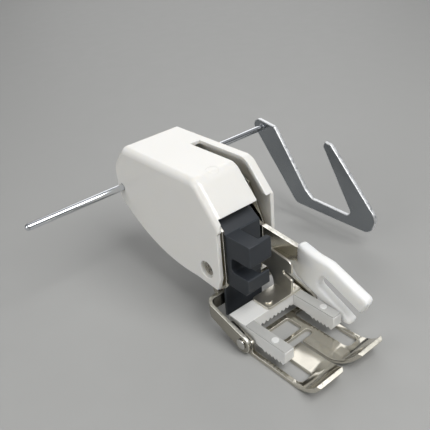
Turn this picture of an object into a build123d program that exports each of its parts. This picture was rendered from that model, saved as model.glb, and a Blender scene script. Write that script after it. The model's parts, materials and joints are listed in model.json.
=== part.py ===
from build123d import *
from math import cos, radians, sin
import os

# Axes: +X to the right of the person sewing, +Y to the back, +Z up.
# The origin is the needle's drop point on the underside of the sole. All sizes in millimetres.

# Fits
press_gap = 0.02
running_gap = 0.05
side_gap = 0.3

# Presser sole
sole_thick = 1.2
sole_rear = 10.6
toe_start = 9.4
toe_curl = 10.0
toe_angle = 57.0
toe_slit = 1.0
toe_spread = 8.2
needle_slot = (10.8, 2.6)
needle_slot_y = 0.65
bridge_bar = 1.2
sole_rail = 1.3
sole_web = 2.6
window_room = (0.85, 0.35)
feed_window_front = -11.5
feed_window_rear = 9.0
ear_thick = 1.1
sole_pivot = (8.6, 3.6)
sole_pin_radius = 0.9
sole_pin_head = (1.6, 0.5)

# Yoke that holds the sole
yoke_thick = 1.1
yoke_web_front = 22.8
yoke_corner = 3.0
yoke_lobe = 3.0
yoke_rivet_x = 6.0
yoke_rivet_z = 9.2
yoke_rivet_radius = 0.9
yoke_rivet_head = (1.5, 0.5)

# Feed dog and its strips
leg_inner = 8.05
leg_width = 3.4
dog_nose = -5.4
dog_top = 7.1
crossbar_front = 10.0
crossbar_rear = 16.8
crossbar_bottom = 3.6
tooth_tip = 2.5
tooth_root = 3.3
tooth_pitch = 1.35
teeth_rear = 4.8
strip_thick = 0.4
stake_y = -0.2
stake_height = 0.3

# Nickel-plated sheet
sheet = 0.8
bracket_left = -2.3
bracket_inset = 0.15
bracket_arm_x = 7.2
bracket_eye = 2.6
bracket_rivet_radius = 0.8
bracket_rivet_head = (1.2, 0.5)
frame_gap = 8.4

# Mounting block with the presser-bar channel
block_front = 9.85
block_rear = 24.2
block_right = 4.4
jaw_top = 32.05
jaw_right = -0.3
channel_left = -3.5
channel_front = 11.7
channel_rear = 18.9
screw_slot = (20.6, 25.3)
screw_slot_rear = 17.8
block_bottom = 15.0
block_screw_radius = 0.9
countersink_radius = 1.7

# Housing
wall = 1.4
housing_gap = 0.5
left_edge_round = 2.2
brow = (8.3, 9.4)
brow_round = 5.0
lip_reach = 0.8
right_edge_round = 0.6
lever_slot = (4.6, 8.1)
lever_slot_rear = 49.0
front_edge_y = 19.9
front_edge_z = 37.3
screw_recess_radius = 2.7
screw_radius = 1.0
screw_head = (2.1, 0.7)
cross_recess = (2.6, 0.6, 0.45)
left_screw = (25.8, 18.7)
right_screw = (33.5, 19.0)

# Turning points of the mechanism, each (y, z)
lever_pivot = (43.0, 36.0)
rocker_pivot = (31.0, 26.3)
cross_pin_radius = 1.2
crank_throw = 2.9
crank_rest = 18.0
crank_pin_radius = 0.7
rocker_upper = 6.8
rocker_lower = 10.7
rocker_rest = 7.5
spacer_at = (37.5, 26.6)
spacer_radius = 1.6
spring_wire = 0.3
hub_left = -3.8
lever_hub_radius = 4.0
lever_half = 3.2
arm_top = 27.9
arm_height = 5.5
link_eye = 1.4
link_half = 1.0
rocker_eyes = (1.6, 2.4, 2.2)
rocker_hub_radius = 2.2
clip_radius = 2.4
clip_mouth = 1.6
clip_thick = 0.5

# Lanes of the mechanism along X
lever_lane = (6.4, 7.8)
link_lane = (3.7, 4.6)
rocker_lane = (2.2, 3.4)
fork_room = 0.75
fork_thick = 3.4
fork_round = 0.8

# Quilting guide
guide_axis = (67.0, 31.0)
guide_radius = 1.15
guide_tip = -45.3
guide_head = (1.95, 0.5)
blade_x = 52.0
blade_thick = 1.5
leaf_screw = (0.0, 54.0, 43.6)
leaf_thick = 0.4
leaf_half = 4.0
leaf_boss_radius = 2.6
leaf_screw_radius = 0.9
leaf_screw_head = (1.8, 0.8)
leaf_screw_depth = 1.9

# Positions that follow from the sizes above
leg_outer = leg_inner + leg_width
feed_window = (leg_inner - window_room[0], leg_outer + window_room[1])
rear_window_half = feed_window[0] - sole_web
sole_half = feed_window[1] + sole_rail
stake_radius = 0.32 * leg_width
bracket_right = leg_outer - bracket_inset
fork_lane = (leg_outer + fork_room, leg_outer + fork_room + fork_thick)
fork_middle = sum(fork_lane) / 2
arm_half = (lever_lane[1] - lever_lane[0]) / 2
tongue_lane = (fork_middle - arm_half, fork_middle + arm_half)
arm_bend_y = front_edge_y + 0.9
yoke_inner = sole_half + running_gap * 4
yoke_outer = yoke_inner + yoke_thick
plate_outer = frame_gap + sheet
housing_inner = plate_outer + housing_gap
housing_half = housing_inner + wall
web_rear = yoke_web_front + yoke_thick
recess_floor = plate_outer + wall / 4
strip_top = dog_top + strip_thick
crank_point = (lever_pivot[0] + crank_throw * sin(radians(crank_rest)),
               lever_pivot[1] - crank_throw * cos(radians(crank_rest)))
link_point = (rocker_pivot[0] + rocker_upper * sin(radians(rocker_rest)),
              rocker_pivot[1] + rocker_upper * cos(radians(rocker_rest)))
carrier_point = (rocker_pivot[0] - rocker_lower * sin(radians(rocker_rest)),
                 rocker_pivot[1] - rocker_lower * cos(radians(rocker_rest)))


def side_prism(face, x_low, x_high):
    """A side view drawn in (y, z), given its thickness along X."""
    return extrude(Plane.YZ.offset(x_low) * face, amount=x_high - x_low, dir=(1, 0, 0))


def top_prism(face, z_low, z_high):
    """A top view drawn in (x, y), given its height along Z."""
    return extrude(Plane.XY.offset(z_low) * face, amount=z_high - z_low, dir=(0, 0, 1))


def x_rod(at, radius, x_low, x_high):
    return side_prism(Pos(*at) * Circle(radius), x_low, x_high)


def front_prism(face, y_low, y_high):
    """A front view drawn in (x, z), given its depth along Y."""
    return extrude(Plane.XZ.offset(-y_low) * face, amount=y_high - y_low, dir=(0, 1, 0))


def y_rod(x, z, radius, y_low, y_high):
    return front_prism(Pos(x, z) * Circle(radius), y_low, y_high)


def z_rod(x, y, radius, z_low, z_high):
    return top_prism(Pos(x, y) * Circle(radius), z_low, z_high)


def box(x_span, y_span, z_span):
    low = (x_span[0], y_span[0], z_span[0])
    size = (x_span[1] - x_span[0], y_span[1] - y_span[0], z_span[1] - z_span[0])
    return Pos(*low) * Box(*size, align=(Align.MIN, Align.MIN, Align.MIN))


def outline(*corners):
    """A closed outline of (u, v) or (u, v, corner radius)."""
    points = [corner[:2] for corner in corners]
    radii = [corner[2] if len(corner) > 2 else 0 for corner in corners]
    return make_face(FilletPolyline(*points, radius=radii, close=True))


def both_sides(piece):
    return piece + mirror(piece, about=Plane.YZ)


# Presser sole

def sole_section():
    under = toe_curl + sole_thick

    def on_curl(radius, degrees):
        turn = radians(degrees)
        return (-toe_start - radius * sin(turn), under - radius * cos(turn))

    edges = [
        Line((sole_rear, 0), (-toe_start, 0)),
        ThreePointArc((-toe_start, 0), on_curl(under, toe_angle / 2), on_curl(under, toe_angle)),
        Line(on_curl(under, toe_angle), on_curl(toe_curl, toe_angle)),
        ThreePointArc(on_curl(toe_curl, toe_angle), on_curl(toe_curl, toe_angle / 2),
                      (-toe_start, sole_thick)),
        Line((-toe_start, sole_thick), (sole_rear, sole_thick)),
        Line((sole_rear, sole_thick), (sole_rear, 0)),
    ]
    return make_face(edges)


def toe_gap(front):
    slit = toe_slit / 2
    mouth = toe_spread / 2
    flare = -toe_start - 1.0
    edges = [
        Line((-slit, 0), (slit, 0)),
        Line((slit, 0), (slit, flare)),
        TangentArc((slit, flare), (mouth, front), tangent=(0, -1)),
        Line((mouth, front), (-mouth, front)),
        TangentArc((-slit, flare), (-mouth, front), tangent=(0, -1)),
        Line((-slit, flare), (-slit, 0)),
    ]
    return make_face(edges)


def sole_plan():
    front = -toe_start - (toe_curl + sole_thick) * sin(radians(toe_angle))
    plan = outline((-sole_half, sole_rear + 1), (-sole_half, front + press_gap, 1.2),
                   (sole_half, front + press_gap, 1.2), (sole_half, sole_rear + 1))
    window_width = feed_window[1] - feed_window[0]
    window_length = feed_window_rear - feed_window_front
    window = RectangleRounded(window_width, window_length, 1.4)
    window_at = ((feed_window[0] + feed_window[1]) / 2, (feed_window_rear + feed_window_front) / 2)
    bridge_rear = needle_slot_y + needle_slot[1] / 2 + bridge_bar
    rear_length = feed_window_rear - bridge_rear
    plan -= toe_gap(front - 0.1)
    plan -= Pos(0, needle_slot_y) * SlotOverall(*needle_slot)
    plan -= Pos(0, bridge_rear + rear_length / 2) * RectangleRounded(2 * rear_window_half, rear_length, 0.8)
    for side in (-1, 1):
        plan -= Pos(side * window_at[0], window_at[1]) * window
    return plan


def presser_sole():
    plate = side_prism(sole_section(), -2 * sole_half, 2 * sole_half)
    plate &= top_prism(sole_plan(), -1, toe_curl)
    y, z = sole_pivot
    ear = outline((y - 3.2, 0), (y - 2.8, z + 1.3, 0.8), (y + 5.8, z + 3.6, 0.8), (y + 6.7, z + 2.8, 0.6),
                  (y + 5.8, z + 0.4, 2.0), (sole_rear, 0))
    ear -= Pos(*sole_pivot) * Circle(sole_pin_radius + running_gap)
    return plate + both_sides(side_prism(ear, sole_half - ear_thick, sole_half))


def sole_pin(side):
    head_radius, head_height = sole_pin_head
    pin = x_rod(sole_pivot, sole_pin_radius, sole_half - ear_thick, yoke_outer)
    pin += x_rod(sole_pivot, head_radius, yoke_outer, yoke_outer + head_height)
    return pin if side > 0 else mirror(pin, about=Plane.YZ)


# Yoke

def yoke():
    front = sole_pivot[0] - 2 * yoke_lobe
    outer = outline((-yoke_outer, front), (yoke_outer, front), (yoke_outer, web_rear, yoke_corner),
                    (-yoke_outer, web_rear, yoke_corner))
    inner = outline((-yoke_inner, front), (yoke_inner, front),
                    (yoke_inner, yoke_web_front, yoke_corner - yoke_thick),
                    (-yoke_inner, yoke_web_front, yoke_corner - yoke_thick))
    strip = top_prism(outer - inner, 0, 2 * yoke_rivet_z)
    y, z = sole_pivot
    arm = outline((web_rear + 1, yoke_rivet_z + 1.8), (web_rear - 3.4, yoke_rivet_z + 0.7, 4.0),
                  (y, z + yoke_lobe), (y, z - yoke_lobe), (y + 4.6, z - 1.2, 3.0),
                  (web_rear - 2.2, yoke_rivet_z - 3.6, 3.0), (web_rear + 1, yoke_rivet_z - 2.2))
    arm += Pos(*sole_pivot) * Circle(yoke_lobe)
    strip &= side_prism(arm, -2 * yoke_outer, 2 * yoke_outer)
    strip -= x_rod(sole_pivot, sole_pin_radius + press_gap, -2 * yoke_outer, 2 * yoke_outer)
    for x in (-yoke_rivet_x, yoke_rivet_x):
        strip -= y_rod(x, yoke_rivet_z, yoke_rivet_radius + press_gap, yoke_web_front - 1, web_rear + 1)
    return strip


def yoke_rivets():
    head_radius, head_height = yoke_rivet_head
    rear = web_rear + sheet
    rivet = y_rod(yoke_rivet_x, yoke_rivet_z, yoke_rivet_radius, yoke_web_front, rear)
    for low in (yoke_web_front - head_height, rear):
        rivet += y_rod(yoke_rivet_x, yoke_rivet_z, head_radius, low, low + head_height)
    return both_sides(rivet)


# Feed dog, strips and bracket

def tooth_row(low, high):
    """Saw teeth along Y as (y, z) points, from the front tip to the rear root."""
    points = []
    count = int((high - low) / tooth_pitch)
    for step in range(count):
        y = low + step * tooth_pitch
        points += [(y, tooth_tip), (y + 0.7 * tooth_pitch, tooth_root)]
    return points


def dog_leg():
    teeth = tooth_row(dog_nose + 1.0, teeth_rear)
    profile = outline((dog_nose, dog_top), (dog_nose, tooth_root + 0.6), (dog_nose + 0.5, tooth_root - 0.2),
                      *teeth, (teeth_rear, tooth_root), (teeth_rear + 0.5, crossbar_bottom),
                      (crossbar_front + 0.5, crossbar_bottom), (crossbar_front + 0.5, dog_top))
    leg = side_prism(profile, leg_inner, leg_outer)
    stake_x = (leg_inner + leg_outer) / 2
    return leg + z_rod(stake_x, stake_y, stake_radius, dog_top, strip_top + stake_height)


def rivet_points():
    y = (crossbar_front + crossbar_rear) / 2 - 1.2
    return [(bracket_left + 2.2, y), (bracket_right - 1.6, y)]


def feed_dog():
    bar = box((-leg_outer, leg_outer), (crossbar_front, crossbar_rear), (crossbar_bottom, strip_top))
    notch = Polygon((-0.6, 0), (0.6, 0), (0, 0.8), align=None)
    for step in range(-4, 5):
        at = Pos(step * tooth_pitch * 1.2, crossbar_bottom) * notch
        bar -= front_prism(at, crossbar_front, crossbar_rear)
    bar += both_sides(dog_leg())
    for x, y in rivet_points():
        bar -= z_rod(x, y, bracket_rivet_radius + press_gap, crossbar_bottom - 1, strip_top + 1)
    return bar


def feed_strip(side):
    low = (leg_inner + 0.1, dog_nose + 0.2)
    high = (leg_outer - 0.1, crossbar_front)
    strip = box((low[0], high[0]), (low[1], high[1]), (dog_top, strip_top))
    strip -= z_rod((leg_inner + leg_outer) / 2, stake_y, stake_radius + press_gap, 0, 2 * strip_top)
    return strip if side > 0 else mirror(strip, about=Plane.YZ)


def feed_bracket():
    base = strip_top
    front = crossbar_front - 0.2
    rear = crossbar_rear
    foot_plan = outline((bracket_left, front, 0.8), (bracket_right, front, 0.8),
                        (bracket_right, rear, 0.8), (bracket_left, rear, 0.8))
    arch_left, arch_right = bracket_arm_x - 5.2, bracket_arm_x - 1.2
    arch = outline((arch_left, rear + 1), (arch_left, front + 3.6, 1.6), (arch_right, front + 3.6, 1.6),
                   (arch_right, rear + 1))
    foot = top_prism(foot_plan - arch, base, base + sheet)
    for x, y in rivet_points():
        foot -= z_rod(x, y, bracket_rivet_radius + press_gap, base - 1, base + 2)
    y, z = carrier_point
    arm = outline((front, base), (front, base + 5.6, 0.6), (front + 3.4, base + 6.4, 0.5),
                  (front + 3.4, base + 7.8, 0.5), (front - 0.1, base + 7.8, 0.5), (front, base + 11.7, 1.8),
                  (front + 8.2, base + 12.8, 2.0), (y - 5.0, z + bracket_eye, 3.0), (y, z + bracket_eye),
                  (y, z - bracket_eye), (rear + 2.8, z - 2.5, 1.5), (rear + 0.8, base + 2.6, 1.5),
                  (rear + 0.2, base))
    arm += Pos(y, z) * Circle(bracket_eye)
    arm -= Pos(y, z) * Circle(cross_pin_radius + running_gap)
    return foot + side_prism(arm, bracket_arm_x, bracket_arm_x + sheet)


def bracket_rivets():
    top = strip_top + sheet
    head_radius, head_height = bracket_rivet_head
    rivets = Part()
    for x, y in rivet_points():
        rivets += z_rod(x, y, bracket_rivet_radius, crossbar_bottom + sheet, top)
        rivets += z_rod(x, y, head_radius, top, top + head_height)
    return rivets


# Mounting block

def block_screw_points():
    y = (channel_rear + block_rear) / 2 + 0.4
    return [(y, screw_slot[1] + 3.5), (y, block_bottom + 3.5)]


def block_screw(at, slack):
    narrow = block_screw_radius + slack
    cone = Cone(narrow, countersink_radius + slack, sheet, align=(Align.CENTER, Align.CENTER, Align.MIN))
    head = Plane.YZ.offset(-frame_gap) * Pos(*at) * Rot(180, 0, 0) * cone
    return head + x_rod(at, narrow, -frame_gap - sheet / 2, channel_left - 1.0 + slack)


def mounting_block():
    plan = outline((-frame_gap, block_front - 1), (jaw_right, block_front - 1),
                   (jaw_right, channel_front, 0.4), (channel_left, channel_front, 0.4),
                   (channel_left, channel_rear, 0.4), (block_right, channel_rear, 0.5),
                   (block_right, block_rear + 1), (-frame_gap, block_rear + 1))
    slope_top = jaw_top + 2.9
    side = outline((block_front, jaw_top, 0.4), (channel_rear + 0.5, jaw_top), (block_rear - 0.8, slope_top),
                   (block_rear, slope_top), (block_rear, block_bottom), (block_front + 2.4, block_bottom),
                   (block_front + 1.1, block_bottom + 1.4), (block_front + 1.1, screw_slot[0], 0.5),
                   (screw_slot_rear, screw_slot[0], 1.2), (screw_slot_rear, screw_slot[1], 1.2),
                   (block_front, screw_slot[1], 0.5))
    block = top_prism(plan, block_bottom - 1, slope_top + 1)
    block &= side_prism(side, -2 * frame_gap, 2 * frame_gap)
    for at in block_screw_points():
        block -= block_screw(at, press_gap)
    return block


def block_screws():
    screws = Part()
    for at in block_screw_points():
        screw = block_screw(at, 0)
        y, z = at
        screw -= box((-plate_outer - 1, -plate_outer + 0.35), (y - 0.2, y + 0.2), (z - 2, z + 2))
        screws += screw
    return screws


# Frame plates

def frame_outline(front_corners):
    ly, lz = lever_pivot
    foot_z = yoke_rivet_z - 2.2
    return outline(*front_corners, (ly - 15, lz + 3.5, 2.0), (ly - 3, lz + 5.5, 2.0),
                   (ly + 3.8, lz + 5.0, 3.0), (ly + 5.5, lz, 3.0), (ly - 3, lz - 13.5, 3.0),
                   (ly - 7, lz - 21.5, 3.0),
                   (web_rear + 3.0, foot_z + 5.4, 1.5), (web_rear + sheet, foot_z), (web_rear, foot_z),
                   (web_rear, foot_z + 4.4), (web_rear - 1.4, foot_z + 5.2))


def frame_flange():
    flange = box((yoke_rivet_x - 2.4, plate_outer), (web_rear, web_rear + sheet),
                 (yoke_rivet_z - 2.2, yoke_rivet_z + 2.3))
    hole = yoke_rivet_radius + press_gap
    return flange - y_rod(yoke_rivet_x, yoke_rivet_z, hole, web_rear - 1, web_rear + 2)


def cross_pin_holes():
    far = 2 * plate_outer
    holes = x_rod(spacer_at, spacer_radius / 2 + press_gap, -far, far)
    for pivot in (lever_pivot, rocker_pivot):
        holes += x_rod(pivot, cross_pin_radius + press_gap, -far, far)
    return holes


def frame_plate_left():
    edge = front_edge_y - 0.4
    plate = frame_outline([(edge, block_bottom - 0.5, 1.0), (edge, jaw_top + 1.2, 1.0)])
    plate = side_prism(plate, -plate_outer, -frame_gap) + mirror(frame_flange(), about=Plane.YZ)
    plate -= cross_pin_holes()
    plate -= x_rod(left_screw, screw_radius + press_gap, -2 * plate_outer, 0)
    for at in block_screw_points():
        plate -= block_screw(at, press_gap)
    return plate


def frame_plate_right():
    edge = front_edge_y + 1.1
    plate = frame_outline([(edge, block_bottom + 1.5, 1.0), (edge, screw_slot[1], 2.0),
                           (edge + 3.5, jaw_top + 1.0, 1.0)])
    plate = side_prism(plate, frame_gap, plate_outer) + frame_flange()
    plate -= cross_pin_holes()
    return plate - x_rod(right_screw, screw_radius + press_gap, 0, 2 * plate_outer)


def frame_spacer():
    bar = x_rod(spacer_at, spacer_radius, -frame_gap, frame_gap)
    return bar + x_rod(spacer_at, spacer_radius / 2, -plate_outer, plate_outer)


# Housing

def housing_side():
    ly, lz = front_edge_y, front_edge_z
    ry, rz = guide_axis
    rear = ry + 2.7
    lip_drop = lip_reach * brow[1] / brow[0]
    edges = [
        Polyline((ly, lz - 4.5), (ly - lip_reach, lz - 3.5), (ly - lip_reach, lz - lip_drop)),
        FilletPolyline((ly - lip_reach, lz - lip_drop), (ly + brow[0], lz + brow[1]), (rear - 5.6, lz + 8.6),
                       (rear - 2.2, rz + 11.2), radius=[brow_round, 2.0]),
        ThreePointArc((rear - 2.2, rz + 11.2), (rear, rz + 3.2), (rear - 1.3, rz - 4.2)),
        ThreePointArc((rear - 1.3, rz - 4.2), (ry - 11.5, rz - 12.8), (ly + 11.0, lz - 23.3)),
        FilletPolyline((ly + 11.0, lz - 23.3), (ly + 1.4, lz - 23.9), (ly, lz - 19.5), (ly, lz - 4.5),
                       radius=[1.0, 2.0]),
    ]
    return make_face(edges)


def housing():
    side = housing_side()
    shell = side_prism(side, -housing_half, housing_half)
    upper = [edge for edge in shell.edges() if edge.center().Z > front_edge_z]
    left = [edge for edge in upper if edge.center().X < -housing_half + wall / 2]
    right = [edge for edge in upper if edge.center().X > housing_half - wall / 2]
    shell = fillet(left, left_edge_round)
    shell = fillet([shell.edges().sort_by_distance(edge.center())[0] for edge in right], right_edge_round)
    hollow = offset(side, amount=-wall, kind=Kind.INTERSECTION)
    front = front_edge_y + 3
    under = front_edge_z - 15.3
    mouth = outline((front - 12, 0), (front - 12, front_edge_z), (front, front_edge_z), (front, under),
                    (lever_slot_rear, under), (lever_slot_rear, 0))
    shell -= side_prism(hollow, -housing_inner, housing_inner)
    shell -= side_prism(mouth, -housing_inner, housing_inner)
    shell -= box(lever_slot, (0, lever_slot_rear), (front_edge_z - 1, 2 * front_edge_z))
    right_cut = outline((0, 0), (front + 6.0, 0), (front + 6.0, screw_slot[1] - 0.3, 1.5),
                        (0, screw_slot[1] - 0.3))
    shell -= side_prism(right_cut, 0, 2 * housing_half)
    shell += screw_boss(left_screw, -1) + screw_boss(right_screw, 1)
    shell -= screw_hole(left_screw, -1) + screw_hole(right_screw, 1)
    shell -= x_rod(guide_axis, guide_radius + running_gap, -2 * housing_half, 2 * housing_half)
    x, y, z = leaf_screw
    shell += z_rod(x, y, leaf_boss_radius, z, front_edge_z + 8.0)
    return shell - z_rod(x, y, leaf_screw_radius + press_gap, z - 1, z + leaf_screw_depth + press_gap)


def screw_boss(at, side):
    """Thickened wall behind a housing screw, up to the frame plate."""
    boss = x_rod(at, screw_recess_radius + 0.9, plate_outer, housing_inner + 0.5 * wall)
    return boss if side > 0 else mirror(boss, about=Plane.YZ)


def screw_hole(at, side):
    hole = x_rod(at, screw_recess_radius, recess_floor, 2 * housing_half)
    hole += x_rod(at, screw_radius + press_gap, 0, recess_floor)
    return hole if side > 0 else mirror(hole, about=Plane.YZ)


def housing_screw(at, side):
    """Pan-head screw with a cross recess, its head sunk in the wall."""
    head_radius, head_height = screw_head
    head_top = recess_floor + head_height
    screw = x_rod(at, screw_radius, frame_gap, recess_floor)
    screw += x_rod(at, head_radius, recess_floor, head_top)
    long, narrow, deep = cross_recess
    cross = Rectangle(long, narrow) + Rectangle(narrow, long)
    screw -= side_prism(Pos(*at) * cross, head_top - deep, head_top + 1)
    return screw if side > 0 else mirror(screw, about=Plane.YZ)


# Fork lever and its linkage

def arm_run():
    """Sheet arm from its hub down to the bend at the mouth of the housing."""
    y, z = lever_pivot
    bend = arm_bend_y
    low = arm_top - arm_height
    side = outline((y, z + lever_half), (y - 17.0, arm_top + 3.3, 3.0), (bend + 1.7, arm_top + 0.2, 2.0),
                   (bend - 0.4, arm_top), (bend - 0.4, low), (bend + 3.4, low + 1.6, 2.0),
                   (y - 14.4, z - 7.6, 3.0), (y, z - lever_half))
    return side_prism(side, *lever_lane)


def arm_bend(slack=0.0):
    """Slanting run of the arm, out to the fork, and the tongue that the fork is moulded on."""
    inner, outer = lever_lane
    near, far = tongue_lane[0] - slack, tongue_lane[1] + slack
    bend = arm_bend_y
    low = arm_top - arm_height
    plan = outline((inner, bend + 0.8), (outer, bend + 0.8), (outer + slack, bend + 0.2), (far, 11.4),
                   (far, 7.0 - slack), (near, 7.0 - slack), (near, 11.0), (inner - slack, bend - 0.2))
    side = outline((bend + 1.0, low), (bend + 1.0, arm_top), (bend - 0.2, arm_top + slack),
                   (12.8, 21.6 + slack), (6.0, 18.4 + slack), (6.0, 15.8 - slack), (14.4, 16.4 - slack),
                   (bend - 0.2, low - slack))
    return top_prism(plan, 0, 2 * arm_top) & side_prism(side, 0, 2 * far)


def lever_arm():
    """Nickel arm of the lever with its hub."""
    hub = x_rod(lever_pivot, lever_hub_radius, link_lane[1] + side_gap, frame_gap - side_gap)
    arm = hub + arm_run() + arm_bend()
    arm -= x_rod(lever_pivot, cross_pin_radius + running_gap, 0, 2 * frame_gap)
    return arm - x_rod(crank_point, crank_pin_radius + press_gap, 0, lever_lane[1] - 0.8)


def fork_lever():
    """Nylon fork on the arm: two prongs that take the needle clamp's screw between them."""
    side = outline((12.7, 21.6, 1.2), (11.4, 22.4, 1.2), (5.8, 20.9, 4.0), (0.4, 20.5, 4.0),
                   (-13.5, 14.7, 1.4), (-11.3, 9.6, 1.0), (2.8, 15.8, 1.4), (4.8, 11.4, 1.4),
                   (-8.3, 5.0, 1.0), (-7.4, 3.2, 1.0), (-4.8, 3.3, 2.0), (7.2, 8.2, 3.0),
                   (13.2, 11.0, 2.5), (15.4, 14.6, 2.5))
    fork = side_prism(side, *fork_lane)
    rims = fork.edges().filter_by(lambda edge: abs(edge.tangent_at(0.5).X) < 0.5)
    return fillet(rims, fork_round) - arm_bend(press_gap)


def crank_pin():
    return x_rod(crank_point, crank_pin_radius, link_lane[0] - 0.1, lever_lane[1] - 0.8)


def lever_pin():
    return x_rod(lever_pivot, cross_pin_radius, -plate_outer, plate_outer)


def rocker_pin():
    return x_rod(rocker_pivot, cross_pin_radius, -plate_outer, plate_outer)


def clip(at, x_low):
    """Retaining ring, open at the bottom, that sits on a cross pin."""
    ring = Circle(clip_radius) - Circle(cross_pin_radius + press_gap)
    ring -= Pos(0, -clip_radius) * Rectangle(clip_mouth, 2 * clip_radius)
    return side_prism(Pos(*at) * ring, x_low, x_low + clip_thick)


def drive_link():
    near_y, near_z = link_point
    far_y, far_z = crank_point
    bar = outline((near_y, near_z - link_half), (far_y, far_z - link_half), (far_y, far_z + link_half),
                  (near_y, near_z + link_half))
    bar += Pos(*link_point) * Circle(link_eye + side_gap)
    bar += Pos(*crank_point) * Circle(link_eye)
    bar -= Pos(*crank_point) * Circle(crank_pin_radius + running_gap)
    bar -= Pos(*link_point) * Circle(crank_pin_radius + side_gap)
    return side_prism(bar, *link_lane)


def feed_rocker():
    low, high = rocker_lane
    points = (link_point, rocker_pivot, carrier_point)
    front_edge = [(point[0] - eye, point[1]) for point, eye in zip(points, rocker_eyes)]
    rear_edge = [(point[0] + eye, point[1]) for point, eye in zip(points, rocker_eyes)]
    arm = outline(*front_edge, *reversed(rear_edge))
    for point, eye in zip(points, rocker_eyes):
        arm += Pos(*point) * Circle(eye)
    far = 2 * plate_outer
    rocker = side_prism(arm, low, high)
    rocker += x_rod(rocker_pivot, rocker_hub_radius, hub_left, low)
    rocker += x_rod(carrier_point, rocker_eyes[2], high, bracket_arm_x - side_gap / 2)
    rocker -= x_rod(rocker_pivot, cross_pin_radius + running_gap, -far, far)
    rocker -= x_rod(carrier_point, cross_pin_radius + press_gap, -far, far)
    return rocker - x_rod(link_point, crank_pin_radius + press_gap, low - 1, high + 1)


def link_pin():
    return x_rod(link_point, crank_pin_radius, rocker_lane[0], link_lane[1] + 0.2)


def carrier_pin():
    return x_rod(carrier_point, cross_pin_radius, rocker_lane[0], frame_gap - side_gap)


def torsion_spring(at, radius, x_low, turns, legs):
    """Closed coil round a cross pin, with a straight tangent leg at each end."""
    wire = spring_wire
    pitch = 2.2 * wire
    height = turns * pitch
    path = Helix(pitch, height, radius, center=(x_low, *at), direction=(1, 0, 0))
    start = path @ 0
    end = path @ 1
    section = Plane(origin=start, z_dir=path % 0) * Circle(wire)
    coil = sweep(section, path=path)
    front = start - (path % 0) * legs[0]
    back = end + (path % 1) * legs[1]
    for a, b in ((start, front), (end, back)):
        axis = (b - a).normalized()
        coil += extrude(Plane(origin=a, z_dir=axis) * Circle(wire), amount=(b - a).length)
    return coil


def lever_spring():
    radius = cross_pin_radius + spring_wire + 4 * running_gap
    return torsion_spring(lever_pivot, radius, hub_left + 0.8, 4, (6.0, 8.0))


def feed_spring():
    radius = rocker_hub_radius + spring_wire + 2 * running_gap
    return torsion_spring(rocker_pivot, radius, hub_left + 0.8, 4, (6.0, 5.0))


# Quilting guide and the leaf that grips its bar

def guide_rod():
    rod = x_rod(guide_axis, guide_radius, guide_tip + guide_radius, blade_x + blade_thick)
    rod += Pos(guide_tip + guide_radius, *guide_axis) * Sphere(guide_radius)
    head_radius, head_height = guide_head
    head_low = blade_x + blade_thick
    return rod + x_rod(guide_axis, head_radius, head_low, head_low + head_height)


def guide_blade():
    """Flat hook: a wide strip down to the runner, and the short leg that rises from its front end."""
    y, z = guide_axis
    side = outline((y - 6.5, z + 1.8, 1.5), (45.0, 11.7, 3.0), (41.8, 9.2, 2.0), (23.0, 8.8, 1.8),
                   (37.0, 32.0, 0.8), (36.4, 33.8, 0.6), (33.6, 33.4, 0.8), (13.2, 11.6, 4.2),
                   (15.4, 5.2, 4.0), (49.6, 4.9, 3.5), (y + 5.4, z + 0.6, 2.4), (y + 2.2, z + 3.0, 2.0))
    side -= Pos(*guide_axis) * Circle(guide_radius + press_gap)
    return side_prism(side, blade_x, blade_x + blade_thick)


def leaf_path():
    x, y, z = leaf_screw
    gy, gz = guide_axis
    foot = z - leaf_thick / 2
    near = gy - guide_radius - running_gap - leaf_thick / 2
    return FilletPolyline((y - 3.0, foot), (y + 4.4, foot), (near, gz + 1.5), (near, gz - 2.0), radius=1.5)


def guide_spring():
    leaf = side_prism(trace(leaf_path(), leaf_thick), -leaf_half, leaf_half)
    x, y, z = leaf_screw
    return leaf - z_rod(x, y, leaf_screw_radius + press_gap, z - 2, z + 2)


def guide_spring_screw():
    x, y, z = leaf_screw
    head_radius, head_height = leaf_screw_head
    head = z - leaf_thick
    low = head - head_height
    screw = z_rod(x, y, leaf_screw_radius, head, z + leaf_screw_depth) + z_rod(x, y, head_radius, low, head)
    return screw - box((x - 2, x + 2), (y - 0.25, y + 0.25), (low - 1, low + head_height / 2))


parts = {
    "presser_sole": presser_sole(),
    "sole_pin_left": sole_pin(-1),
    "sole_pin_right": sole_pin(1),
    "yoke": yoke(),
    "yoke_rivets": yoke_rivets(),
    "feed_dog": feed_dog(),
    "feed_strip_left": feed_strip(-1),
    "feed_strip_right": feed_strip(1),
    "feed_bracket": feed_bracket(),
    "bracket_rivets": bracket_rivets(),
    "mounting_block": mounting_block(),
    "block_screws": block_screws(),
    "frame_plate_left": frame_plate_left(),
    "frame_plate_right": frame_plate_right(),
    "frame_spacer": frame_spacer(),
    "housing": housing(),
    "housing_screw_left": housing_screw(left_screw, -1),
    "housing_screw_right": housing_screw(right_screw, 1),
    "lever_arm": lever_arm(),
    "fork_lever": fork_lever(),
    "crank_pin": crank_pin(),
    "lever_pin": lever_pin(),
    "lever_clip": clip(lever_pivot, rocker_lane[1] - 0.6),
    "lever_spring": lever_spring(),
    "drive_link": drive_link(),
    "feed_rocker": feed_rocker(),
    "link_pin": link_pin(),
    "rocker_pin": rocker_pin(),
    "rocker_clip": clip(rocker_pivot, rocker_lane[1] + 0.2),
    "carrier_pin": carrier_pin(),
    "feed_spring": feed_spring(),
    "guide_rod": guide_rod(),
    "guide_blade": guide_blade(),
    "guide_spring": guide_spring(),
    "guide_spring_screw": guide_spring_screw(),
}

os.makedirs("parts", exist_ok=True)
for name, solid in parts.items():
    export_step(solid, f"parts/{name}.step")
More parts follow.
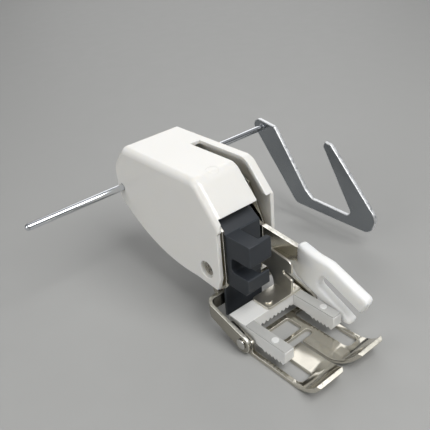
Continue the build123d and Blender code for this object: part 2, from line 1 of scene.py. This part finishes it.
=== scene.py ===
# %% [markdown]
# # A walking presser foot, dressed in Blender
# The shapes of this foot come from a CAD model, so every piece already has its true size and place.
# What is left for Blender is the look: soft edges, nickel, nylon, moulded plastic, the light and the camera.
# We load the CAD pieces first, and keep the size of the whole foot.

# %% Load the CAD pieces
import json
import math

import bmesh
import bpy
from mathutils import Matrix, Vector

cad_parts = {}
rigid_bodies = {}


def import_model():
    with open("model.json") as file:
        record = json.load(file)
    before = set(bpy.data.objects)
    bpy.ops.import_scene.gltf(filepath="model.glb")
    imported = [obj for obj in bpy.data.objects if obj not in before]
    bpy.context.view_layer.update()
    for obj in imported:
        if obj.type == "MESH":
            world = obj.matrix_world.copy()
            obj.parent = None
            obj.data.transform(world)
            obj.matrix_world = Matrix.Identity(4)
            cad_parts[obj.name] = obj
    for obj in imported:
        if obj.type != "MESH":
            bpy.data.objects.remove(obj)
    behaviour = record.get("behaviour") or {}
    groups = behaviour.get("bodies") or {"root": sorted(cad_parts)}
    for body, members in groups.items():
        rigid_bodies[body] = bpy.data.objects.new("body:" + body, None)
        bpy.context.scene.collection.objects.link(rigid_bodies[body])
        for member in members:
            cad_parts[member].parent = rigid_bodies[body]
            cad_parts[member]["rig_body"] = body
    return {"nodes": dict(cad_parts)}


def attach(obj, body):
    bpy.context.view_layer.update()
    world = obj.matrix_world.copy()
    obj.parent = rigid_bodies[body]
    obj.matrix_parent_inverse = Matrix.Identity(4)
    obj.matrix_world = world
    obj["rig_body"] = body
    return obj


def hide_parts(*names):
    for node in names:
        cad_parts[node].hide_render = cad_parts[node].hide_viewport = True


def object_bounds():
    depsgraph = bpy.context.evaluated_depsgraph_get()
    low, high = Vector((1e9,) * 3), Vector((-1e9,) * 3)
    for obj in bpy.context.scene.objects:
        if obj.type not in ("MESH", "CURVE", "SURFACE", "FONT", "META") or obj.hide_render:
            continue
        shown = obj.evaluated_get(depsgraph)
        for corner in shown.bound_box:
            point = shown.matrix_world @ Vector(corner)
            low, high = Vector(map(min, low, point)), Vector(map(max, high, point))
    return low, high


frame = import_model()
cad_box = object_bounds()
mm = 0.001
scene = bpy.context.scene
print("pieces from CAD:", len(frame["nodes"]))
print("size in mm:", [round((high - low) / mm, 1) for low, high in zip(*cad_box)])

# %% [markdown]
# ## The camera
# The picture was taken from the front left, looking about thirty degrees down, with the camera tipped a
# little to one side. A Track To constraint could aim a camera, but it can't tip it.
# So we write the camera's matrix: the picture's right, up and backward directions, then its place.

# %% Place the camera
turn, down_tilt, tip = math.radians(-37.871), math.radians(30.812), math.radians(5.110)
camera_place = Vector((-95.29, -88.65, 121.47)) * mm
picture_pixels, focal_pixels, sensor_width = 430, 605, 36

forward = Vector((-math.sin(turn) * math.cos(down_tilt), math.cos(turn) * math.cos(down_tilt),
                  -math.sin(down_tilt)))
level = Vector((math.cos(turn), math.sin(turn), 0))
below = forward.cross(level)
right = math.cos(tip) * level + math.sin(tip) * below
under = math.cos(tip) * below - math.sin(tip) * level

lens = bpy.data.cameras.new("photo_camera")
lens.sensor_width = sensor_width
lens.lens = sensor_width * focal_pixels / picture_pixels
lens.clip_start, lens.clip_end = 0.01, 20
camera = bpy.data.objects.new("photo_camera", lens)
axes = Matrix((right, -under, -forward)).transposed()
camera.matrix_world = Matrix.Translation(camera_place) @ axes.to_4x4()
scene.collection.objects.link(camera)
scene.camera = camera
print("lens in mm:", round(lens.lens, 2))

# %% [markdown]
# ## The light
# White plastic and polished nickel both want large soft lamps: plastic then shades gently, and metal has
# something broad to mirror. A wide lamp above the front does most of the work, and a weak one fills the left
# side. The third stands behind the foot, where metal that lies flat would otherwise mirror only a dark room.
# Together they light a flat top at about full level, so colours look as written.

# %% Hang the lamps
scene.view_settings.view_transform = "Standard"


def soft_lamp(name, place, target, size, watts):
    """A square lamp that looks at a point, with its sizes in millimetres."""
    data = bpy.data.lights.new(name, "AREA")
    data.size, data.energy = size * mm, watts
    lamp = bpy.data.objects.new(name, data)
    lamp.location = Vector(place) * mm
    lamp.rotation_euler = (Vector(target) - Vector(place)).to_track_quat("-Z", "Y").to_euler()
    scene.collection.objects.link(lamp)
    print(name, watts, "W")


soft_lamp("overhead_softbox", (50, -320, 530), (0, 30, 10), 420, 3.25)
soft_lamp("left_fill", (-620, 60, 300), (0, 30, 20), 420, 1.5)
soft_lamp("back_card", (400, 520, 360), (0, 20, 10), 520, 1.1)

# %% [markdown]
# ## The sky
# A room is dim around the table and lighter at the ceiling, and metal shows both. An even grey world would
# make nickel look like paint. So a Map Range node turns the height of each direction into a strength.

# %% Dim the sky towards the horizon
horizon_strength, ceiling_strength, ceiling_height = 0.07, 0.32, 0.8
sky = bpy.data.worlds.new("dim_studio")
sky.use_nodes = True
tree = sky.node_tree
background = tree.nodes["Background"]
background.inputs["Color"].default_value = (0.97, 0.98, 1.0, 1)
direction = tree.nodes.new("ShaderNodeTexCoord")
parts = tree.nodes.new("ShaderNodeSeparateXYZ")
climb = tree.nodes.new("ShaderNodeMapRange")
for label, value in (("From Min", 0.0), ("From Max", ceiling_height),
                     ("To Min", horizon_strength), ("To Max", ceiling_strength)):
    climb.inputs[label].default_value = value
tree.links.new(direction.outputs["Generated"], parts.inputs["Vector"])
tree.links.new(parts.outputs["Z"], climb.inputs["Value"])
tree.links.new(climb.outputs["Result"], background.inputs["Strength"])
scene.world = sky
print("sky strength from", horizon_strength, "at the horizon to", ceiling_strength, "overhead")

# %% [markdown]
# ## Soft edges for CAD shapes
# A CAD edge is perfectly sharp, and nothing real is: punched sheet has a rolled edge, a moulding has a
# radius. A Bevel modifier could round them, but it can't pass over the few edges that meet almost side by
# side, where a bevel runs out in a spike. So we bevel a copy of each CAD mesh in code. The new faces get a
# mark named edge, for an edge colour: plating wear, and on metal also a painted highlight where rounded
# edges catch the light. A Weighted Normal modifier keeps flat faces flat.

# %% A helper that rounds the edges of a CAD piece
spike_angle, crisp_angle = math.radians(25), math.radians(32)
flat_angle, shading_angle = math.radians(1), math.radians(35)
weld = 0.001 * mm
bevel_steps = 2


def join_flat(bm):
    """Join points that coincide, and then faces that lie in one plane."""
    bmesh.ops.remove_doubles(bm, verts=bm.verts, dist=weld)
    bmesh.ops.dissolve_limit(bm, angle_limit=flat_angle, verts=bm.verts, edges=bm.edges)


def side_by_side(edge, other):
    """Whether two edges leave the corner that they share in almost one direction."""
    shared = set(edge.verts) & set(other.verts)
    if edge == other or not shared:
        return False
    corner = shared.pop()
    rays = [e.other_vert(corner).co - corner.co for e in (edge, other)]
    return rays[0].angle(rays[1]) < spike_angle


def edges_to_round(bm, inner):
    """The crisp edges of a mesh, without spikes; inner says whether hollow corners count too."""
    crisp = {e for e in bm.edges if len(e.link_faces) == 2 and e.calc_face_angle() > crisp_angle
             and (inner or e.is_convex)}
    return [e for e in bm.edges if e in crisp
            and not any(side_by_side(e, o) for v in e.verts for o in v.link_edges if o in crisp)]


def softened(node, width, reshape=None, inner=True):
    """A copy of a CAD node with its edges rounded by width millimetres, which stands for the node."""
    source = frame["nodes"][node]
    bm = bmesh.new()
    bm.from_mesh(source.data)
    join_flat(bm)
    if reshape:
        reshape(bm)
    edge_mark = bm.faces.layers.float.new("edge")
    edges = edges_to_round(bm, inner)
    made = bmesh.ops.bevel(bm, geom=edges, offset=width * mm, offset_type="OFFSET", segments=bevel_steps,
                           profile=0.5, affect="EDGES", clamp_overlap=False)
    for face in made["faces"]:
        face[edge_mark] = 1.0
    mesh = bpy.data.meshes.new(node + "_soft")
    bm.to_mesh(mesh)
    bm.free()
    mesh.shade_smooth()
    mesh.set_sharp_from_angle(angle=shading_angle)
    piece = bpy.data.objects.new(node + "_soft", mesh)
    scene.collection.objects.link(piece)
    piece.modifiers.new("flat_faces_stay_flat", "WEIGHTED_NORMAL").keep_sharp = True
    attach(piece, source["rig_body"])
    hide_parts(node)
    print(node, "edges rounded:", len(edges), "faces:", len(mesh.polygons))
    return piece


# %% [markdown]
# ### Bright faces
# On thin sheet the whole cut side catches the light, not only its rounded edges. So we can also give the
# edge mark, and with it a painted highlight, to faces by the way they look.

# %% A helper that marks faces by their direction
def mark_painted_highlight(piece, looks_right):
    """Give the edge mark, and with it a painted highlight, to the faces of a piece whose normal passes a
    test.
    """
    marked = 0
    for face, mark in zip(piece.data.polygons, piece.data.attributes["edge"].data):
        if looks_right(face.normal):
            mark.value = 1.0
            marked += 1
    print(piece.name, "bright faces:", marked)


# %% [markdown]
# ## Finishes that come back: node groups
# Three effects return in several materials: the grain of a mould, the fine lines and finger marks of
# polished metal, and bright edges, rubbed on plastic and a painted highlight on metal. Each is built once as
# a node group with named sockets, and each material places it with its own values.

# %% Small helpers for node trees
FLOAT, COLOUR = "NodeSocketFloat", "NodeSocketColor"


def new_group(name, inputs, outputs):
    """An empty shader group with named sockets, and its two end nodes."""
    group = bpy.data.node_groups.new(name, "ShaderNodeTree")
    for kind, label, value in inputs:
        group.interface.new_socket(label, in_out="INPUT", socket_type=kind).default_value = value
    for kind, label in outputs:
        group.interface.new_socket(label, in_out="OUTPUT", socket_type=kind)
    print("group:", name)
    return group, group.nodes.new("NodeGroupInput"), group.nodes.new("NodeGroupOutput")


def add(tree, kind, **values):
    """A new node: a value that names one of its inputs goes there, any other sets the node's own property."""
    node = tree.nodes.new(kind)
    for key, value in values.items():
        if key in node.inputs:
            node.inputs[key].default_value = value
        else:
            setattr(node, key, value)
    return node


def noise(tree, size, detail=3.0, stretch=(1, 1, 1)):
    """Noise with spots about size millimetres wide, in the piece's own place, so it moves with the piece."""
    place = add(tree, "ShaderNodeTexCoord")
    spread = add(tree, "ShaderNodeMapping", Scale=stretch)
    texture = add(tree, "ShaderNodeTexNoise", Scale=1 / (size * mm), Detail=detail)
    tree.links.new(place.outputs["Object"], spread.inputs["Vector"])
    tree.links.new(spread.outputs["Vector"], texture.inputs["Vector"])
    return texture.outputs["Fac"]


def blend(tree, factor, first, second):
    """Mix two colours by a factor; each is a socket."""
    mix = add(tree, "ShaderNodeMix", data_type="RGBA")
    for socket, place in ((factor, 0), (first, 6), (second, 7)):
        tree.links.new(socket, mix.inputs[place])
    return mix.outputs[2]


def stretch_range(tree, value, low, high, start=0.3, end=0.7):
    """Spread a noise's middle values over a span whose ends are sockets."""
    span = add(tree, "ShaderNodeMapRange", **{"From Min": start, "From Max": end})
    tree.links.new(value, span.inputs["Value"])
    tree.links.new(low, span.inputs["To Min"])
    tree.links.new(high, span.inputs["To Max"])
    return span.outputs["Result"]


# %% [markdown]
# ### Mould grain
# A mould is spark-eroded, and that grain prints on the plastic. A fine noise gives the skin's height,
# and a broad one changes shade and gloss very slightly, as thick and thin walls cool differently.

# %% Group: mould grain
cloud_size, grain_size = 11.0, 0.30
mould_grain, given, result = new_group(
    "mould_grain",
    [(COLOUR, "Thick wall", (0.8, 0.8, 0.8, 1)), (COLOUR, "Thin wall", (0.7, 0.7, 0.7, 1)),
     (FLOAT, "Glossy", 0.35), (FLOAT, "Matt", 0.5)],
    [(COLOUR, "Colour"), (FLOAT, "Roughness"), (FLOAT, "Height")])
cloud = noise(mould_grain, cloud_size, 2.0)
shade = blend(mould_grain, cloud, given.outputs["Thick wall"], given.outputs["Thin wall"])
gloss = stretch_range(mould_grain, cloud, given.outputs["Glossy"], given.outputs["Matt"])
mould_grain.links.new(shade, result.inputs["Colour"])
mould_grain.links.new(gloss, result.inputs["Roughness"])
mould_grain.links.new(noise(mould_grain, grain_size, 4.0), result.inputs["Height"])

# %% [markdown]
# ### Polishing lines
# Sheet is rolled and then polished in one direction, so its scratches are long and thin. Noise squeezed
# across the lines gives them. Finger marks are a second, broad noise that dulls the gloss in patches.

# %% Group: polishing lines
smear_size, line_size, line_stretch = 7.0, 0.5, (1.0, 0.06, 1.0)
polish_lines, given, result = new_group(
    "polish_lines",
    [(COLOUR, "Bright", (0.8, 0.8, 0.8, 1)), (COLOUR, "Dull", (0.6, 0.6, 0.6, 1)),
     (FLOAT, "Polished", 0.1), (FLOAT, "Smeared", 0.3)],
    [(COLOUR, "Colour"), (FLOAT, "Roughness"), (FLOAT, "Height")])
smear = noise(polish_lines, smear_size, 3.0)
shade = blend(polish_lines, smear, given.outputs["Bright"], given.outputs["Dull"])
gloss = stretch_range(polish_lines, smear, given.outputs["Polished"], given.outputs["Smeared"])
polish_lines.links.new(shade, result.inputs["Colour"])
polish_lines.links.new(gloss, result.inputs["Roughness"])
polish_lines.links.new(noise(polish_lines, line_size, 2.0, line_stretch), result.inputs["Height"])

# %% [markdown]
# ### Rubbed edges and painted highlights
# The bevel helper marked every rounded edge. Here that mark is broken up by noise and used to mix a second
# colour in: a painted highlight on metal, a little cleaner on plastic. The mask goes out too, for the gloss.

# %% Group: rubbed edges and painted highlights
rub_and_highlight_size = 1.2
edge_wear_and_highlight, given, result = new_group(
    "edge_wear_and_highlight",
    [(COLOUR, "Face", (0.5, 0.5, 0.5, 1)), (COLOUR, "Edge", (0.8, 0.8, 0.8, 1)), (FLOAT, "Wear and highlight", 0.5)],
    [(COLOUR, "Colour"), (FLOAT, "Mask")])
mark = add(edge_wear_and_highlight, "ShaderNodeAttribute", attribute_name="edge").outputs["Fac"]
broken = add(edge_wear_and_highlight, "ShaderNodeMath", operation="MULTIPLY")
worn_and_lit = add(edge_wear_and_highlight, "ShaderNodeMath", operation="MULTIPLY", use_clamp=True)
edge_wear_and_highlight.links.new(mark, broken.inputs[0])
edge_wear_and_highlight.links.new(noise(edge_wear_and_highlight, rub_and_highlight_size, 4.0), broken.inputs[1])
edge_wear_and_highlight.links.new(broken.outputs[0], worn_and_lit.inputs[0])
edge_wear_and_highlight.links.new(given.outputs["Wear and highlight"], worn_and_lit.inputs[1])
shade = blend(edge_wear_and_highlight, worn_and_lit.outputs[0], given.outputs["Face"], given.outputs["Edge"])
edge_wear_and_highlight.links.new(shade, result.inputs["Colour"])
edge_wear_and_highlight.links.new(worn_and_lit.outputs[0], result.inputs["Mask"])

# %% [markdown]
# ## Materials
# Every material is a Principled BSDF fed by one surface group, then by the rubbed edges and painted
# highlights, with a faint bump from the group's height. Values that are the same all over, such as metallic,
# sit on the shader itself.
# A cut edge scatters light more than a polished face, so a finish may give its edges their own roughness.

# %% A helper that builds one finish
def ground_edges(tree, smooth, mask, edge_gloss):
    """The roughness of a surface, changed to edge_gloss where the mask marks an edge."""
    mix = add(tree, "ShaderNodeMix", data_type="FLOAT")
    mix.inputs[3].default_value = edge_gloss
    tree.links.new(mask, mix.inputs[0])
    tree.links.new(smooth, mix.inputs[2])
    return mix.outputs[0]


def finish(name, group, colours, gloss, edge, wear_and_highlight=0.5, edge_gloss=None, bump=0.1, depth=0.02, **shader):
    """A material: its surface group with two colours and two roughnesses, its edge colour and its bump."""
    material = bpy.data.materials.new(name)
    material.use_nodes = True
    tree = material.node_tree
    principled = tree.nodes["Principled BSDF"]
    for label, value in shader.items():
        principled.inputs[label.replace("_", " ")].default_value = value
    surface = add(tree, "ShaderNodeGroup", node_tree=group)
    for socket, value in zip(surface.inputs, (*[(*c, 1) for c in colours], *gloss)):
        socket.default_value = value
    # The edge colour is rubbed wear on plastic, and a painted highlight on metal.
    edges = add(tree, "ShaderNodeGroup", node_tree=edge_wear_and_highlight)
    edges.inputs["Edge"].default_value = (*edge, 1)
    edges.inputs["Wear and highlight"].default_value = wear_and_highlight
    relief = add(tree, "ShaderNodeBump", Strength=bump, Distance=depth * mm)
    rough = surface.outputs["Roughness"]
    if edge_gloss is not None:
        rough = ground_edges(tree, rough, edges.outputs["Mask"], edge_gloss)
    tree.links.new(surface.outputs["Colour"], edges.inputs["Face"])
    tree.links.new(edges.outputs["Colour"], principled.inputs["Base Color"])
    tree.links.new(rough, principled.inputs["Roughness"])
    tree.links.new(surface.outputs["Height"], relief.inputs["Height"])
    tree.links.new(relief.outputs["Normal"], principled.inputs["Normal"])
    print("finish:", name)
    return material


def wear_finish(material, *pieces):
    """Give a material to pieces, whatever slots they had."""
    for piece in pieces:
        piece.data.materials.clear()
        piece.data.materials.append(material)


def cad(*names):
    """The CAD pieces of these names, for the ones that keep their CAD shape."""
    return [frame["nodes"][name] for name in names]


# %% [markdown]
# ## The floor
# A plain pale floor keeps the shadow and gives the nickel something calm to mirror. It lies a hair below
# the sole, so the two never fight for the same height.

# %% Lay the floor
floor_radius, floor_gap = 3.0, 0.05 * mm
bpy.ops.mesh.primitive_circle_add(vertices=64, radius=floor_radius, fill_type="NGON",
                                  location=(0, 0, cad_box[0].z - floor_gap))
floor = bpy.context.object
floor.name = "floor"
wear_finish(finish("pale_floor", mould_grain, [(0.36, 0.36, 0.35), (0.38, 0.38, 0.37)], (0.55, 0.65),
                   (0.6, 0.6, 0.6), wear_and_highlight=0, bump=0.02), floor)

# %% [markdown]
# ## The housing's plastic
# The cover is one warm white moulding with smooth, shiny walls. White plastic lets some light in and out
# again, so a little subsurface scattering takes the hardness off its shadows.

# %% Mix the white plastic
housing_white = finish("housing_white", mould_grain, [(0.84, 0.825, 0.785), (0.82, 0.805, 0.765)],
                       (0.06, 0.10), (0.86, 0.85, 0.82), wear_and_highlight=0.4, bump=0.03, depth=0.02,
                       Subsurface_Weight=0.3, Subsurface_Radius=(0.003, 0.0027, 0.0022), Subsurface_Scale=0.7)

# %% [markdown]
# ### The ejector's ring
# A round pin pushes the moulding out of its mould, and leaves a faint ring on the roof. It could be cut into
# the mesh, but it is only some hundredths of a millimetre high. So a second bump, after the grain, raises
# the skin at one distance from the pin's centre.

# %% Print the ring on the roof
ring_centre, ring_radius = Vector((-2.7, 29.6, 46.6)) * mm, 1.75 * mm
ring_width, ring_height = 0.25 * mm, 0.06 * mm
tree = housing_white.node_tree
spot = add(tree, "ShaderNodeTexCoord")
reach = add(tree, "ShaderNodeVectorMath", operation="DISTANCE")
reach.inputs[1].default_value = ring_centre
beside = add(tree, "ShaderNodeMath", operation="SUBTRACT")
beside.inputs[1].default_value = ring_radius
apart = add(tree, "ShaderNodeMath", operation="ABSOLUTE")
ring = add(tree, "ShaderNodeMapRange",
           **{"From Min": 0.0, "From Max": ring_width, "To Min": 1.0, "To Max": 0.0})
ring_bump = add(tree, "ShaderNodeBump", Strength=1.0, Distance=ring_height)
for start, end in ((spot.outputs["Object"], reach.inputs[0]),
                   (reach.outputs["Value"], beside.inputs[0]),
                   (beside.outputs[0], apart.inputs[0]),
                   (apart.outputs[0], ring.inputs["Value"]),
                   (ring.outputs["Result"], ring_bump.inputs["Height"]),
                   (tree.nodes["Bump"].outputs["Normal"], ring_bump.inputs["Normal"]),
                   (ring_bump.outputs["Normal"], tree.nodes["Principled BSDF"].inputs["Normal"])):
    tree.links.new(start, end)
print("ring on the roof, radius in mm:", ring_radius / mm)

# %% [markdown]
# ### The housing's walls
# The walls are flat and their curves come from CAD, so rounded edges are enough, and no subdivision is
# needed. Only the right wall changes: its front corners stand out a little under the roof, where the real
# wall ends in one upright edge. We move those corners back along the roof's slope before the bevel.

# %% Shape and dress the housing
slot_side, wall_front, slope_end = 8.0 * mm, 19.9 * mm, 35.5 * mm
lip_reach, lip_drop = 0.8 * mm, 0.906 * mm


def straight_right_wall(bm):
    """Bring the right wall's front corners back into one upright edge, along the slope of the roof."""
    for corner in bm.verts:
        if corner.co.x > slot_side and corner.co.y < wall_front - lip_reach / 2:
            corner.co.y += lip_reach
            corner.co.z += lip_drop if corner.co.z > slope_end else 0


housing = softened("housing", 0.25, reshape=straight_right_wall)
wear_finish(housing_white, housing)

# %% [markdown]
# ## The fork
# The fork that rides on the needle clamp is milky nylon. Light goes in at its lit side and comes out at the
# other, so its subsurface radius is about its own thickness. Its form is as soft as soap: a bevel can't run
# over that many small edges, so a voxel Remesh gives it an even skin and a Smooth modifier melts the corners.

# %% Shape and dress the fork
skin_voxel, melt_factor, melt_rounds = 0.2 * mm, 0.5, 24
milky_nylon = finish("milky_nylon", mould_grain, [(0.91, 0.91, 0.885), (0.89, 0.89, 0.865)], (0.34, 0.44),
                     (0.92, 0.92, 0.90), wear_and_highlight=0.3, bump=0.05, depth=0.03, Subsurface_Weight=0.9,
                     Subsurface_Radius=(0.0030, 0.0029, 0.0027), Subsurface_Scale=1.0)
fork = softened("fork_lever", 0.1)
fork.modifiers.clear()
skin = fork.modifiers.new("even_skin", "REMESH")
skin.mode, skin.voxel_size, skin.use_smooth_shade = "VOXEL", skin_voxel, True
melt = fork.modifiers.new("moulded_softness", "SMOOTH")
melt.factor, melt.iterations = melt_factor, melt_rounds
wear_finish(milky_nylon, fork)

# %% [markdown]
# ## The feed dog
# The dog is nylon too, a little greyer and drier than the fork, and its teeth are crisp because they have to
# grip. Only its outer edges are rounded: a rounded hollow corner adds material, and the dog passes through
# the sole's windows with little room.

# %% Dress the dog
dog_nylon = finish("dog_nylon", mould_grain, [(0.74, 0.74, 0.72), (0.70, 0.70, 0.685)], (0.38, 0.5),
                   (0.78, 0.78, 0.77), wear_and_highlight=0.3, bump=0.05, depth=0.03, Subsurface_Weight=0.3,
                   Subsurface_Radius=(0.0012, 0.0011, 0.0010), Subsurface_Scale=0.5)
dog = softened("feed_dog", 0.12, inner=False)
wear_finish(dog_nylon, dog)

# %% [markdown]
# ## The dark block
# The block that clamps on the presser bar is a casting with a dark blue-grey coat, dull and fine-grained,
# rubbed a little paler along its edges. A thin dark foot reaches down from it, in front of the yoke: partly
# the block's own foot, partly a dark sheet put as painted shade behind the dog's crossbar and inside the
# yoke. The foot is a plain box, so we add it to the block's mesh before the bevel, and it is rounded with the
# rest.

# %% Shape and dress the block
shade_foot_low, shade_foot_high = Vector((-8.4, 21.4, 2.4)) * mm, Vector((6.2, 22.2, 15.6)) * mm
dark_coat = finish("dark_coat", mould_grain, [(0.024, 0.028, 0.034), (0.032, 0.037, 0.044)], (0.40, 0.52),
                   (0.07, 0.08, 0.09), wear_and_highlight=0.6, bump=0.15, depth=0.04, Specular_IOR_Level=0.35)


def add_foot_and_shade_sheet(bm):
    """The block's foot, a tongue under its rear edge down in front of the yoke, and partly a dark sheet as
    painted shade there.
    """
    size = Matrix.Diagonal(shade_foot_high - shade_foot_low).to_4x4()
    bmesh.ops.create_cube(bm, size=1, matrix=Matrix.Translation((shade_foot_low + shade_foot_high) / 2) @ size)


block = softened("mounting_block", 0.2, reshape=add_foot_and_shade_sheet)
wear_finish(dark_coat, block)

# %% [markdown]
# ## Nickel-plated sheet
# Yoke, lever arm, frame plates and the small linkage are punched from sheet and nickel-plated: a warm,
# slightly yellow grey, not a mirror, painted darker than nickel as a painted dark reflection of a dim room.
# Their upward sides are thin cut edges that get the edge mark as a whole: one bright line, a painted
# highlight.

# %% Dress the plated sheet
plated = {"bump": 0.02, "depth": 0.01, "Metallic": 1.0}
# Dark face colour: painted dark reflection. Bright edge colour: painted highlight on rims and upward sides.
nickel_painted_dark = finish("nickel_plate", polish_lines, [(0.45, 0.43, 0.37), (0.37, 0.35, 0.30)], (0.14, 0.24),
                (0.88, 0.86, 0.79), wear_and_highlight=1.6, edge_gloss=0.45, **plated)


def faces_up(normal):
    return normal.z > 0.5


for name, width in (("yoke", 0.2), ("lever_arm", 0.12),
                    ("frame_plate_left", 0.12), ("frame_plate_right", 0.12)):
    sheet = softened(name, width)
    # Upward faces get the bright edge colour as a painted highlight.
    mark_painted_highlight(sheet, faces_up)
    wear_finish(nickel_painted_dark, sheet)
wear_finish(nickel_painted_dark, *cad("drive_link", "feed_rocker"))

# %% [markdown]
# ## The feed bracket
# The bracket carries the dog. Its plating is satin, with a soft and pale reflection. In CAD its plate has an
# arch cut from the rear, but the real plate is whole. The arch's corners slide back to the rear edge, and
# the faces that become empty are cleaned away.

# %% Shape and dress the bracket
arch_left, arch_right = 1.9 * mm, 6.1 * mm
arch_front, plate_rear, plate_top = 13.0 * mm, 16.8 * mm, 8.7 * mm
satin_nickel = finish("satin_nickel", polish_lines, [(0.80, 0.77, 0.69), (0.70, 0.67, 0.59)], (0.30, 0.40),
                      (0.86, 0.84, 0.78), wear_and_highlight=0.9, **plated)


def close_arch(bm):
    """Bring the arch cut of the bracket's plate back to its rear edge, so the plate is whole."""
    for corner in bm.verts:
        spot = corner.co
        if arch_left < spot.x < arch_right and arch_front < spot.y < plate_rear and spot.z < plate_top:
            spot.y = plate_rear
    bmesh.ops.dissolve_degenerate(bm, edges=bm.edges, dist=weld)
    join_flat(bm)


bracket = softened("feed_bracket", 0.12, reshape=close_arch)
wear_finish(satin_nickel, bracket)

# %% [markdown]
# ## The sole
# The sole is polished further than the rest, because cloth slides on it. The tips of its two toes are cut
# and ground, and they get the edge mark as a painted highlight for their broad shine. Its windows keep their
# crisp hollow corners, which leaves the dog its room.

# %% Dress the sole
polished = finish("polished_nickel", polish_lines, [(0.70, 0.67, 0.59), (0.60, 0.57, 0.50)], (0.08, 0.18),
                  (0.80, 0.77, 0.68), wear_and_highlight=1.6, edge_gloss=0.45, **plated)


# Toe tips that face forward and up get a painted highlight.
def toe_tip(normal):
    return normal.y < -0.4 and normal.z > 0.3


sole = softened("presser_sole", 0.12, inner=False)
mark_painted_highlight(sole, toe_tip)
wear_finish(polished, sole)

# %% [markdown]
# ## The strips on the dog
# Two thin strips are staked on the dog's legs. They look pale and matt, more like brushed sheet than like a
# mirror, so this finish is only partly metallic.

# %% Dress the strips
strip_steel = finish("strip_steel", polish_lines, [(0.56, 0.56, 0.54), (0.51, 0.51, 0.49)], (0.42, 0.52),
                     (0.56, 0.56, 0.54), wear_and_highlight=0.6, bump=0.12, depth=0.01, Metallic=0.3)
for name in ("feed_strip_left", "feed_strip_right"):
    strip = softened(name, 0.08)
    wear_finish(strip_steel, strip)

# %% [markdown]
# ## The quilting guide
# The guide is a drawn bar, bright and cool, with a punched blade on its end. The blade's flat sides are
# painted dark, a painted reflection of a dim room, and its cut sides get the edge mark all along as a painted
# highlight: every face that doesn't look sideways gets it.

# %% Dress the guide
# Blade: the dark colour is a painted reflection, the bright edge colour a painted highlight.
blade_painted_dark_and_lit = finish("blade_painted_dark_and_lit", polish_lines, [(0.34, 0.36, 0.38), (0.29, 0.31, 0.33)], (0.20, 0.28),
                     (0.92, 0.93, 0.94), wear_and_highlight=1.8, edge_gloss=0.5, **plated)
rod_steel = finish("rod_steel", polish_lines, [(0.74, 0.76, 0.79), (0.66, 0.68, 0.71)], (0.10, 0.16),
                   (0.88, 0.90, 0.92), wear_and_highlight=0.8, **plated)


def cut_side(normal):
    return abs(normal.x) < 0.7


blade, rod = softened("guide_blade", 0.25), softened("guide_rod", 0.25)
# The cut sides get the bright edge colour as a painted highlight.
mark_painted_highlight(blade, cut_side)
wear_finish(blade_painted_dark_and_lit, blade)
wear_finish(rod_steel, rod)

# %% [markdown]
# ## Screws, pins and rivets
# These are small turned pieces. The housing's screws are painted darker, as painted shade of the recesses
# they sit in; the pins are plain bright steel, and the bracket's rivets are plated with the bracket. A table
# keeps who gets what in one place.

# %% Dress the fasteners
pin_steel = finish("pin_steel", polish_lines, [(0.66, 0.65, 0.62), (0.55, 0.54, 0.51)], (0.18, 0.32),
                   (0.80, 0.79, 0.76), wear_and_highlight=0.6, bump=0.06, depth=0.01, Metallic=1.0)
# Housing screws: the darker colour is painted shade of their recesses.
screw_painted_shade = finish("screw_painted_shade", polish_lines, [(0.42, 0.40, 0.35), (0.32, 0.30, 0.26)], (0.18, 0.28),
                      (0.62, 0.60, 0.54), wear_and_highlight=0.7, **plated)
for names, width, material, slot in (
        (("housing_screw_left", "housing_screw_right"), 0.08, screw_painted_shade, "screw_steel"),
        (("block_screws",), 0.06, pin_steel, "screw_steel"),
        (("sole_pin_left", "sole_pin_right", "yoke_rivets"), 0.15, pin_steel, "pin_steel"),
        (("bracket_rivets",), 0.12, satin_nickel, "pin_steel")):
    for name in names:
        piece = softened(name, width)
        wear_finish(material, piece)

# %% [markdown]
# ## Inside the housing
# Pins, clips and springs inside hardly show, so they keep their CAD meshes. The springs and clips are dark
# from their heat treatment.

# %% Dress the inner pieces
spring_steel = finish("spring_steel", polish_lines, [(0.40, 0.40, 0.41), (0.32, 0.31, 0.31)], (0.25, 0.38),
                      (0.5, 0.5, 0.5), wear_and_highlight=0.3, bump=0.06, depth=0.01, Metallic=1.0)
inner_pins = cad("frame_spacer", "crank_pin", "lever_pin", "link_pin", "rocker_pin", "carrier_pin",
                 "guide_spring_screw")
inner_springs = cad("lever_spring", "feed_spring", "guide_spring", "lever_clip", "rocker_clip")
wear_finish(pin_steel, *inner_pins)
wear_finish(spring_steel, *inner_springs)
print("inner pieces:", len(inner_pins), "pins,", len(inner_springs), "springs and clips")
